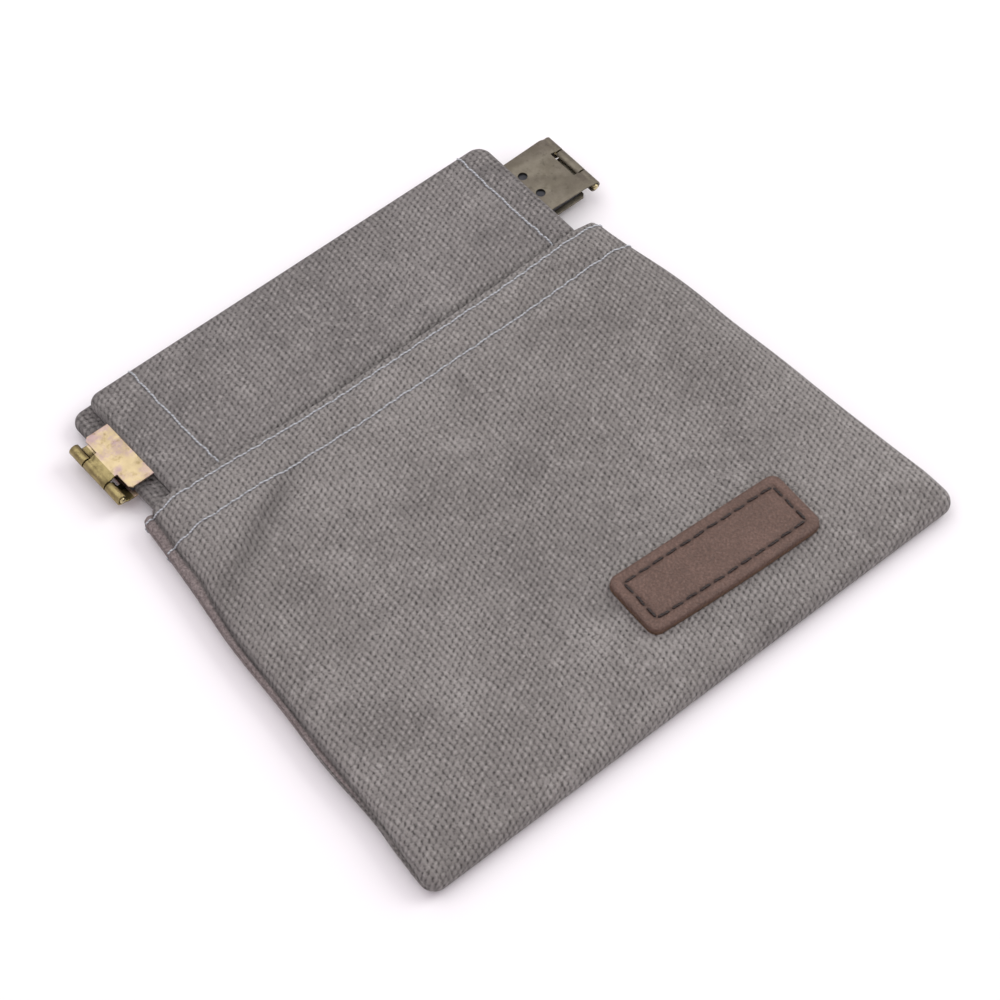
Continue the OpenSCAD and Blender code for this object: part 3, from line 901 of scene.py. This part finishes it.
# ------------------------------------------------------------------ stitching
def stitch_tree():
    """A thread that follows a path and dives at each needle hole, so that it
    lies on the cloth as a row of stitches."""
    tree = bpy.data.node_groups.new("sewn_row", "GeometryNodeTree")
    face = tree.interface
    face.new_socket("Geometry", in_out="INPUT", socket_type="NodeSocketGeometry")
    for name, value in (
        ("Stitch Pitch", STITCH * MM),
        ("Thread Radius", 0.2 * MM),
        ("Hole Depth", 0.5 * MM),
        ("Hole Share", 0.12),
        ("Waver", 0.08 * MM),
    ):
        made = face.new_socket(name, in_out="INPUT", socket_type="NodeSocketFloat")
        made.default_value = value
    face.new_socket("Thread", in_out="INPUT", socket_type="NodeSocketMaterial")
    face.new_socket("Geometry", in_out="OUTPUT", socket_type="NodeSocketGeometry")
    given = add(tree, "NodeGroupInput").outputs
    line = add(tree, "GeometryNodeMeshToCurve", {"Mesh": given["Geometry"]})
    fine = add(
        tree,
        "GeometryNodeResampleCurve",
        {"Curve": line.outputs[0]},
        {"Length": 0.22 * MM},
        mode="LENGTH",
    )
    along = add(tree, "GeometryNodeSplineParameter").outputs["Length"]
    turns = sums(tree, "DIVIDE", along, given["Stitch Pitch"])
    off_middle = sums(tree, "SUBTRACT", sums(tree, "FRACT", turns), 0.5)
    to_hole = sums(tree, "SUBTRACT", 0.5, sums(tree, "ABSOLUTE", off_middle))
    shown = add(
        tree,
        "ShaderNodeMapRange",
        {"Value": to_hole, "From Max": given["Hole Share"]},
        interpolation_type="SMOOTHERSTEP",
    ).outputs["Result"]
    dive = sums(tree, "MULTIPLY", sums(tree, "SUBTRACT", shown, 1.0), given["Hole Depth"])
    vectors = "ShaderNodeVectorMath"
    up = add(
        tree,
        "GeometryNodeInputNamedAttribute",
        values={"Name": "up"},
        data_type="FLOAT_VECTOR",
    ).outputs[0]
    lift = add(tree, vectors, {0: up, "Scale": dive}, operation="SCALE").outputs[0]
    tangent = add(tree, "GeometryNodeInputTangent").outputs[0]
    across = add(tree, vectors, {0: tangent, 1: up}, operation="CROSS_PRODUCT").outputs[0]
    drift = add(
        tree,
        "ShaderNodeTexNoise",
        {"W": turns},
        {"Scale": 0.9, "Detail": 1.0},
        noise_dimensions="1D",
    ).outputs[0]
    whole_waver = sums(tree, "MULTIPLY", given["Waver"], 2.0)
    sway = sums(tree, "MULTIPLY", sums(tree, "SUBTRACT", drift, 0.5), whole_waver)
    aside = add(tree, vectors, {0: across, "Scale": sway}, operation="SCALE").outputs[0]
    offset = add(tree, vectors, {0: lift, 1: aside}, operation="ADD").outputs[0]
    moved = {"Geometry": fine.outputs[0], "Offset": offset}
    laid = add(tree, "GeometryNodeSetPosition", moved)
    ring = add(
        tree,
        "GeometryNodeCurvePrimitiveCircle",
        {"Radius": given["Thread Radius"]},
        {"Resolution": 8},
        mode="RADIUS",
    )
    tube = add(
        tree,
        "GeometryNodeCurveToMesh",
        {"Curve": laid.outputs[0], "Profile Curve": ring.outputs[0]},
        {"Fill Caps": True},
    )
    soft = add(tree, "GeometryNodeSetShadeSmooth", {"Geometry": tube.outputs[0]})
    whole = add(tree, "GeometryNodeRealizeInstances", {"Geometry": soft.outputs[0]})
    painted = add(
        tree,
        "GeometryNodeSetMaterial",
        {"Geometry": whole.outputs[0], "Material": given["Thread"]},
    )
    add(tree, "NodeGroupOutput", {"Geometry": painted.outputs[0]})
    return tree


SEWN_ROW = stitch_tree()


def sewn(name, paths, thread, **sizes):
    """Runs thread along each path, a list of (points, ups), as one mesh."""
    points, ups, edges = [], [], []
    for path, up in paths:
        first = len(points)
        points.extend(path)
        ups.extend(up)
        edges.extend((first + i, first + i + 1) for i in range(len(path) - 1))
    placed = (np.array(points) + np.array([0, 0, MIDDLE_Z])) * MM
    mesh = bpy.data.meshes.new(name + "_path")
    mesh.from_pydata(placed.tolist(), edges, [])
    held = mesh.attributes.new("up", "FLOAT_VECTOR", "POINT")
    held.data.foreach_set("vector", np.array(ups, np.float32).ravel())
    row = place(name + "_path", mesh)
    work = row.modifiers.new("sewing", "NODES")
    work.node_group = SEWN_ROW
    ids = {
        item.name: item.identifier
        for item in SEWN_ROW.interface.items_tree
        if item.in_out == "INPUT"
    }
    for size, value in sizes.items():
        label = size.replace("_", " ").title()
        work[ids[label]] = value if label == "Hole Share" else value * MM
    work[ids["Thread"]] = thread
    plain = plain_mesh(row)
    plain.name = name
    return place(name, plain)


def mouth_rows(face, side_name):
    """The two rows below the mouth edge, over the sewn side to its seam."""
    side, sign = SIDES[side_name], FACES[face]
    paths = []
    for row in ROWS:
        x, z = panel_columns(row, side, face, 200)
        x, z = x[:-2], z[:-2]
        apart = np.append(True, np.hypot(np.diff(x), np.diff(z)) > 0.01)
        x, z = x[apart], z[apart]
        track = np.stack([side * x, np.full_like(x, row), z], 1)
        tangent = np.gradient(track, axis=0)
        up = np.stack([np.abs(tangent[:, 2]) * side, 0 * x, np.abs(tangent[:, 0])], 1)
        up /= np.linalg.norm(up, axis=1)[:, None]
        track = track + THREAD_LIFT * up
        paths.append((settle(track) * [1, 1, sign], up * [1, 1, sign]))
    made = sewn(
        f"{face}_mouth_rows_{side_name}",
        paths,
        pale_thread,
        stitch_pitch=STITCH,
        thread_radius=0.17,
        hole_depth=0.3,
        hole_share=0.09,
        waver=0.3,
    )
    crease_blend(made)
    return made


def end_rows(face, side_name):
    """The row across a casing near its end."""
    side, sign = SIDES[side_name], FACES[face]
    y = np.linspace(MOUTH_Y + 0.6, CASING_TOP - 0.15, 160)
    x = np.full_like(y, END_ROWS[side])
    outer, _, _ = casing_form(x, y, CASING_ENDS[side], side, face)
    x = x + 0.25 * ripple(y * 0, y, 15, 7)
    path = np.stack([x, y, outer + THREAD_LIFT], 1) * [1, 1, sign]
    up = np.tile([0, 0, sign], (len(y), 1))
    made = sewn(
        f"{face}_end_row_{side_name}",
        [(path, up)],
        pale_thread,
        stitch_pitch=STITCH,
        thread_radius=0.19,
        hole_depth=0.32,
        hole_share=0.1,
        waver=0.4,
    )
    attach(made, f"frame_{face}_{side_name}")
    return made


# ----------------------------------------------------------------------- patch
PATCH_AT = sum(span("leather_patch")) / 2 + np.array([0.6, 0.3, 0.0])
PATCH_L, PATCH_W, PATCH_INSET = 39.2, 14.0, 2.3
PATCH_FOOT = OUTER - 0.25  # its underside, pressed a little into the cloth
PATCH_TURN = math.radians(-3)
# How far in from the edge, and how high above the underside.
PATCH_PROFILE = [
    (0.3, 0.0),
    (0.0, 0.1),
    (-0.08, 0.7),
    (0.0, 1.52),
    (0.1, 1.75),
    (0.3, 1.85),
    (0.8, 1.9),
    (1.4, 1.92),
    (1.8, 1.86),
    (2.1, 1.72),
    (2.3, 1.66),
    (2.5, 1.72),
    (2.8, 1.88),
    (3.3, 1.98),
    (4.2, 2.02),
    (4.8, 2.03),
]


def arc(cx, cy, r, angles):
    return [(cx + r * math.cos(a), cy + r * math.sin(a)) for a in angles]


def rounded_ring(length, width, r, count):
    """Points round a rounded rectangle, evenly spaced, anticlockwise."""
    r = max(r, 0.05)
    corners = []
    for cx, cy, start in ((1, 1, 0.0), (-1, 1, 0.5), (-1, -1, 1.0), (1, -1, 1.5)):
        turns = math.pi * np.linspace(start, start + 0.5, 13)
        corners += arc(cx * (length / 2 - r), cy * (width / 2 - r), r, turns)
    corners.append(corners[0])
    corners = np.array(corners)
    travel = np.concatenate([[0], np.cumsum(np.linalg.norm(np.diff(corners, axis=0), axis=1))])
    at = np.linspace(0, travel[-1], count, endpoint=False)
    return np.stack([np.interp(at, travel, corners[:, i]) for i in (0, 1)], 1)


def on_patch(points):
    """From places round the patch's own middle to where it is sewn, with its
    lower edge bowed a little."""
    c, s = math.cos(PATCH_TURN), math.sin(PATCH_TURN)
    x, y = points[:, 0], points[:, 1]
    bow = 0.35 * (1 - (x / (PATCH_L / 2)) ** 2)
    y = y - bow * (y < 0) * np.clip(-y / 7, 0, 1)
    turned = (PATCH_AT[0] + c * x - s * y, PATCH_AT[1] + s * x + c * y)
    return np.stack([*turned, points[:, 2]], 1)


def leather_label():
    """The blank patch: a raw cut edge, a rim that slopes away outside the
    stitching, a pressed groove and a puffed middle."""
    count = 360
    points, cut, shade = [], [], []
    for inset, rise in PATCH_PROFILE:
        ring = rounded_ring(PATCH_L - 2 * inset, PATCH_W - 2 * inset, 2.0 - inset * 0.75, count)
        uneven = 0.05 * ripple(ring[:, 0], ring[:, 1], 7, 1) * ease((inset - 0.3) / 2)
        points.append(np.column_stack([ring, PATCH_FOOT + rise + uneven * (inset < 4.5)]))
        raw = (inset < 0.08 and rise < 1.4) or rise == 0
        # painted shade in the stitch groove and along the rim
        groove = 0.9 * math.exp(-(((inset - PATCH_INSET) / 0.35) ** 2))
        cut.append(np.full(count, 1.0 if raw else 0.0))
        shade.append(np.full(count, groove + 0.3 * (inset < 0.4)))
    points = np.array(points)
    points = np.concatenate([points, points[:, :1]], 1)
    marks = [np.concatenate([np.array(m), np.array(m)[:, :1]], 1).ravel() for m in (cut, shade)]
    last = (len(PATCH_PROFILE) - 1) * (count + 1)
    caps = [tuple(last + k for k in range(count)), tuple(range(count - 1, -1, -1))]
    made = make_mesh(
        "leather_label",
        on_patch(points.reshape(-1, 3)),
        grid_faces(len(PATCH_PROFILE), count + 1, False) + caps,
        None,
        {"cut_edge": marks[0], "edge_shade": marks[1]},
        leather,
    )
    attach(made, "pouch_front")
    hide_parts("leather_patch")


def label_stitches():
    """One row round the patch, in its groove, with a needle hole every
    eleventh of its length."""
    run = PATCH_L - 2 * PATCH_INSET
    x, y = run / 2, PATCH_W / 2 - PATCH_INSET
    z = PATCH_FOOT + 1.76
    corners = [(-x, y), (x, y), (x, -y), (-x, -y)]
    paths = []
    for a, b in zip(corners, corners[1:] + corners[:1]):
        t = np.linspace(0, 1, 80)[:, None]
        line = np.array(a) * (1 - t) + np.array(b) * t
        path = on_patch(np.column_stack([line, np.full(len(line), z)]))
        paths.append((path, np.tile([0, 0, 1], (len(path), 1))))
    made = sewn(
        "label_stitches",
        paths,
        dark_thread,
        stitch_pitch=run / 11,
        thread_radius=0.27,
        hole_depth=0.95,
        hole_share=0.26,
        waver=0.35,
    )
    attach(made, "pouch_front")
    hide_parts("patch_stitch")


# --------------------------------------------------------------------- hinges
SHEET_T = 0.4
SHEET_EDGE = 0.09
KNUCKLE_R = 1.17
PLATE_TOP = 1.6  # the plate's outer side, above the pin's middle
PLATE_REACH = 15.0  # from the pin's middle to the plate's far end
MID_KNUCKLE = (4.3, 10.7)
OUTER_KNUCKLES = ((0.0, 4.0), (11.0, 15.0))


def pressed(loops, thick, lay):
    """A mesh of flat outlines, the later ones holes, with softened edges."""
    shape = bpy.data.curves.new("pressed", "CURVE")
    shape.dimensions = "2D"
    shape.fill_mode = "BOTH"
    for loop in loops:
        line = shape.splines.new("POLY")
        line.points.add(len(loop) - 1)
        for point, at in zip(line.points, loop):
            point.co = (at[0], at[1], 0, 1)
        line.use_cyclic_u = True
    shape.extrude = thick / 2 - SHEET_EDGE
    shape.bevel_depth = SHEET_EDGE
    shape.bevel_resolution = 1
    shape.offset = -SHEET_EDGE
    mesh = plain_mesh(place("pressed", shape))
    mesh.transform(lay)
    return mesh


def round_hole(x, y, r, count=28):
    return arc(x, y, r, np.linspace(0, 2 * math.pi, count, endpoint=False))


def plate_outline(middle, wide):
    """The plate of a leaf with the tongues that run on into its knuckles."""
    low, high, r = 0.25, wide - 0.25, 1.2
    points = []
    for cy, start in ((low + r, -0.5), (high - r, 0.0)):
        points += arc(PLATE_REACH - r, cy, r, math.pi * np.linspace(start, start + 0.5, 7))
    back, tip = 2.15, 1.6
    if middle:
        lo, hi = MID_KNUCKLE
        points += [(back + 0.7, high), (back, high - 0.7), (back, hi), (tip, hi)]
        points += [(tip, lo), (back, lo), (back, low + 0.7), (back + 0.7, low)]
    else:
        (lo0, hi0), (lo1, hi1) = OUTER_KNUCKLES
        points += [(tip, hi1), (tip, lo1), (back, lo1), (back, hi0), (tip, hi0), (tip, lo0)]
    return points


def rolled_outline():
    """The sheet's section where it is rolled round the pin, seen along it."""
    r, t, top = KNUCKLE_R, SHEET_T, PLATE_TOP
    outer = [(2.6, top), (1.9, top - 0.03), (1.2, top - 0.12), (0.7, r + 0.03)]
    turns = np.radians(np.linspace(76, 325, 34))
    outer += arc(0, 0, r, turns)
    inner = arc(0, 0, r - t, turns[::-1])
    inner += [(0.7, r - t + 0.06), (1.2, top - t - 0.12), (1.9, top - t - 0.03), (2.6, top - t)]
    return outer + inner


def hinge_leaf(node, name, middle, plate_finish, knuckle_finish):
    """A leaf stamped from brass plated sheet and rolled round its pin."""
    low, high = span(node)
    left = "left" in node
    sign = 1 if "front" in node else -1
    pin_x = joint_at["left_pin_hinge"][0] if left else middle_x("right_hinge_pin")
    wide = high[1] - low[1]
    away = 1 if left else -1
    base = Matrix.Translation((pin_x, low[1], MIDDLE_Z)) @ Matrix.Diagonal((away, 1, sign, 1))
    holes = [round_hole(10.0, wide / 2 + s * 2.7, 0.95) for s in (-1, 1)]
    lay = base @ Matrix.Translation((0, 0, PLATE_TOP - SHEET_T / 2))
    parts = [(pressed([plate_outline(middle, wide), *holes], SHEET_T, lay), 0)]
    for lo, hi in (MID_KNUCKLE,) if middle else OUTER_KNUCKLES:
        stand = base @ Matrix(((1, 0, 0, 0), (0, 0, 1, (lo + hi) / 2), (0, 1, 0, 0), (0, 0, 0, 1)))
        parts.append((pressed([rolled_outline()], hi - lo, stand), 1))
    work = bmesh.new()
    for part, finish_index in parts:
        first = len(work.faces)
        work.from_mesh(part)
        work.faces.ensure_lookup_table()
        for face in work.faces[first:]:
            face.material_index = finish_index
            face.smooth = True
        bpy.data.meshes.remove(part)
    bmesh.ops.remove_doubles(work, verts=work.verts, dist=0.003)
    bmesh.ops.recalc_face_normals(work, faces=work.faces)
    bmesh.ops.scale(work, vec=(MM, MM, MM), verts=work.verts)
    mesh = bpy.data.meshes.new(name)
    work.to_mesh(mesh)
    work.free()
    mesh.materials.append(plate_finish)
    mesh.materials.append(knuckle_finish)
    mesh.set_sharp_from_angle(angle=math.radians(38))
    made = place(name, mesh)
    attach(made, frame["nodes"][node]["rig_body"])
    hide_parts(node)


def hinge_pin(node, name):
    """A turned pin with slightly domed ends that stand out of the knuckles."""
    low, high = span(node)
    x = (low[0] + high[0]) / 2
    rings = [(low[1], 0.02), (low[1] + 0.03, 0.3), (low[1] + 0.12, 0.53), (low[1] + 0.28, 0.62)]
    rings += [(high[1] - y + low[1], r) for y, r in rings[::-1]]
    turns = np.linspace(0, 2 * math.pi, 25)
    points = [[(x + r * math.cos(a), y, r * math.sin(a)) for a in turns] for y, r in rings]
    faces = grid_faces(len(rings), len(turns), False)
    made = make_mesh(name, points, faces, finish=pin_metal, weld=0.03)
    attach(made, frame["nodes"][node]["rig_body"])
    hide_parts(node)


# ----------------------------------------------------------------- assembling
for face in FACES:
    for side_name in SIDES:
        panel = body_panel(face, side_name)
        ends = [f"{face}_{part}_{side_name}" for part in ("panel", "seam", "hem")]
        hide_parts(*ends)
        if side_name == "left":
            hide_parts(f"{face}_panel", f"{face}_hem")
        rows = mouth_rows(face, side_name)
        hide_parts(f"{face}_mouth_stitch_{side_name}")
        if side_name == "left":
            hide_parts(f"{face}_mouth_stitch")
        sleeve = casing_half(face, side_name)
        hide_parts(f"{face}_casing_{side_name}")
        strip = spring_strip(face, side_name)
        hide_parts(f"{face}_strip_{side_name}")
        if side_name == "left":
            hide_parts(f"{face}_casing")
            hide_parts(f"{face}_strip")
        end_row = end_rows(face, side_name)
        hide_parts(f"{face}_end_stitch_{side_name}")

for side_name in SIDES:
    seam_allowance(side_name)
roll = fold_roll()
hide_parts("bottom_fold")
leather_label()
label_stitches()
# the left hinge's knuckles take the brass painted darker, for the dark reflections on their curve
hinge_leaf("left_hinge_front_leaf", "left_upper_leaf", True, champagne, knuckle_dark_reflection)
hinge_leaf("left_hinge_back_leaf", "left_lower_leaf", False, champagne, knuckle_dark_reflection)
hinge_leaf("right_hinge_front_leaf", "right_upper_leaf", False, bronze, bronze)
hinge_leaf("right_hinge_back_leaf", "right_lower_leaf", True, bronze, bronze)
hinge_pin("left_hinge_pin", "left_turned_pin")
hinge_pin("right_hinge_pin", "right_turned_pin")

# ------------------------------------------------------- floor, light, camera
floor_mesh = bpy.data.meshes.new("table_top")
floor_mesh.from_pydata([(-3, -3, 0), (3, -3, 0), (3, 3, 0), (-3, 3, 0)], [], [(0, 1, 2, 3)])
floor = place("table_top", floor_mesh)
floor.location.z = -0.2 * MM
paper, _, paper_shader = new_finish("matt_white_paper", 0.9)
paper_shader.inputs["Base Color"].default_value = hex_colour("#f7f5f6")
floor_mesh.materials.append(paper)

scene = bpy.context.scene
scene.view_settings.view_transform = "Standard"
world = bpy.data.worlds.new("white_tent")
world.use_nodes = True
background = world.node_tree.nodes["Background"]
background.inputs["Color"].default_value = hex_colour("#fcf1fa")
background.inputs["Strength"].default_value = 0.7
scene.world = world


def soft_box(name, at, size, power, code="#ffffff"):
    """A lamp behind a cloth of that size in metres, turned to the origin."""
    lamp = bpy.data.lights.new(name, "AREA")
    lamp.shape = "RECTANGLE"
    lamp.size, lamp.size_y = size
    lamp.energy = power
    lamp.color = hex_colour(code)[:3]
    made = place(name, lamp)
    made.location = at
    made.rotation_euler = (-Vector(at)).to_track_quat("-Z", "Y").to_euler()


soft_box("overhead_box", (-0.1, 0.5, 0.9), (1.2, 1.0), 4.2, "#fafffb")
soft_box("right_box", (0.66, -0.2, 0.6), (0.5, 0.5), 3.4, "#fafffb")
soft_box("left_box", (-0.9, -0.2, 0.5), (0.6, 0.6), 0.9)

AZIMUTH, ELEVATION, DISTANCE = math.radians(-40.2), math.radians(55.8), 0.618
target = Vector((-0.0001, -0.00435, 0.0))
lens = bpy.data.cameras.new("camera")
lens.sensor_width = 36
lens.lens = 120.6
lens.clip_start = 0.01
camera = place("camera", lens)
level = math.cos(ELEVATION)
away = Vector((math.sin(AZIMUTH) * level, -math.cos(AZIMUTH) * level, math.sin(ELEVATION)))
camera.location = target + DISTANCE * away
camera.rotation_euler = (-away).to_track_quat("-Z", "Y").to_euler()
scene.camera = camera
